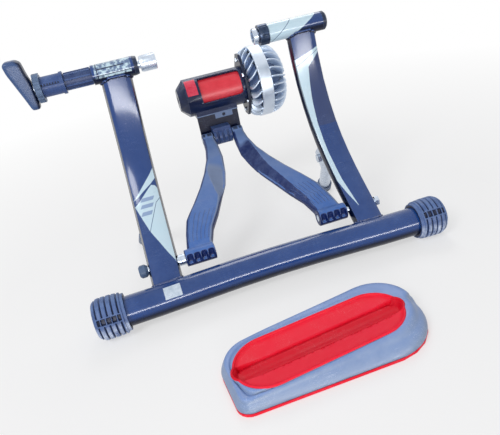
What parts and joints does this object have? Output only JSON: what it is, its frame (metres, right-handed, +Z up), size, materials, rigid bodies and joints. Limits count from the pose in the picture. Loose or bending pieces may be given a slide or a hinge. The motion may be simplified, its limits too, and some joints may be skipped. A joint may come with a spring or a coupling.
{
  "type": "folding bicycle turbo trainer with front wheel block",
  "caption": "Folding turbo trainer: tube frame clamping a rear hub, arms with a roller unit and finned fluid drum, and a block for the front wheel.",
  "frame": {"origin": "middle of the footprint, on the floor", "axes": "+X along the floor tube from the clamp handle's side to the brake drum's side, +Y from the front-wheel block towards the resistance unit, +Z up"},
  "size_m": [0.6374, 0.6704, 0.417],
  "materials": {
    "navy": "glossy metallic",
    "rubber": "matt, worn",
    "black_plastic": "matt",
    "grey_plastic": "matt, fine ribs",
    "sleeve": "satin",
    "steel": "bright zinc",
    "cast_aluminium": "satin cast",
    "black_steel": "black coat",
    "red_plastic": "satin",
    "block_grey": "satin, scuffed"
  },
  "bodies": {
    "frame": {"base_tube": "navy", "foot_left": "rubber", "foot_right": "rubber", "upright_left": "navy", "upright_right": "navy", "clamp_tube_left": "navy", "clamp_bush_left": "black_plastic", "ribbed_sleeve": "sleeve", "scale_sleeve": "sleeve", "clamp_tube_right": "navy", "end_cap_right": "black_plastic", "pivot_pin_left": "steel", "pivot_pin_right": "steel", "pivot_nut": "steel", "pivot_spacer": "steel", "leg_left_bracket": "black_steel", "leg_right_bracket": "black_steel", "leg_left_bolt": "steel", "leg_right_bolt": "steel"},
    "arms": {"arm_left": "grey_plastic", "arm_right": "grey_plastic", "hinge_pin": "steel"},
    "unit": {"hinge_comb": "black_plastic", "unit_bracket": "black_steel", "roller_housing": "black_plastic", "mounting_plate": "black_plastic", "plate_screw_1": "steel", "plate_screw_2": "steel", "plate_screw_3": "steel", "plate_screw_4": "steel", "drum_inner_shell": "cast_aluminium", "drum_ring": "cast_aluminium", "drum_dome": "cast_aluminium"},
    "roller": {"roller_sleeve": "red_plastic", "roller_core": "cast_aluminium", "roller_shaft": "steel", "impeller": "cast_aluminium"},
    "handle": {"clamp_handle": "grey_plastic", "spindle": "steel"},
    "left_cup": {"cup_left": "steel"},
    "preset": {"preset_ring": "sleeve"},
    "lock_ring": {"lock_ring_right": "black_plastic"},
    "right_cup": {"cup_right": "steel"},
    "knob": {"pivot_knob": "black_plastic"},
    "left_leg": {"leg_left_tube": "navy", "leg_left_tip": "rubber"},
    "right_leg": {"leg_right_tube": "navy", "leg_right_tip": "rubber"},
    "block": {"block_sill": "red_plastic", "block_shell": "block_grey", "block_tray": "red_plastic"}
  },
  "joints": [
    {"name": "arm_swing", "type": "hinge", "parent": "frame", "child": "arms", "pos_m": [0.01137, -0.0186, 0.0699], "axis": [1, 0, 0], "range_deg": [-33.5, 0]},
    {"name": "unit_tilt", "type": "hinge", "parent": "arms", "child": "unit", "pos_m": [0.01537, 0.22715, 0.182], "axis": [1, 0, 0], "range_deg": [0, 12]},
    {"name": "roller_spin", "type": "hinge", "parent": "unit", "child": "roller", "pos_m": [0.03537, 0.26515, 0.262], "axis": [1, 0, 0], "continuous": true},
    {"name": "handle_turn", "type": "hinge", "parent": "frame", "child": "handle", "pos_m": [-0.28863, 0.13465, 0.367], "axis": [1, 0, 0], "range_deg": [0, 540]},
    {"name": "left_cup_slide", "type": "slide", "parent": "frame", "child": "left_cup", "axis": [1, 0, 0], "range_m": [0, 0.036]},
    {"name": "preset_turn", "type": "hinge", "parent": "frame", "child": "preset", "pos_m": [-0.27863, 0.13465, 0.367], "axis": [1, 0, 0], "range_deg": [-180, 180]},
    {"name": "lock_ring_turn", "type": "hinge", "parent": "frame", "child": "lock_ring", "pos_m": [0.11138, 0.13465, 0.367], "axis": [1, 0, 0], "range_deg": [-180, 180]},
    {"name": "right_cup_slide", "type": "slide", "parent": "frame", "child": "right_cup", "axis": [1, 0, 0], "range_m": [-0.008, 0]},
    {"name": "pivot_knob_turn", "type": "hinge", "parent": "frame", "child": "knob", "pos_m": [-0.20262, -0.0186, 0.0699], "axis": [1, 0, 0], "range_deg": [-180, 180]},
    {"name": "left_leg_fold", "type": "hinge", "parent": "frame", "child": "left_leg", "pos_m": [-0.16362, 0.09825, 0.13063], "axis": [1, 0, 0], "range_deg": [-60, 0]},
    {"name": "right_leg_fold", "type": "hinge", "parent": "frame", "child": "right_leg", "pos_m": [0.18638, 0.09825, 0.13063], "axis": [1, 0, 0], "range_deg": [-60, 0]},
    {"name": "block_lift", "type": "slide", "parent": "frame", "child": "block", "axis": [0, 0, 1], "range_m": [0, 0.3]}
  ],
  "couplings": [
    {"joint": "left_cup_slide", "follows": "handle_turn", "m_per_rad": 0.0038197}
  ]
}
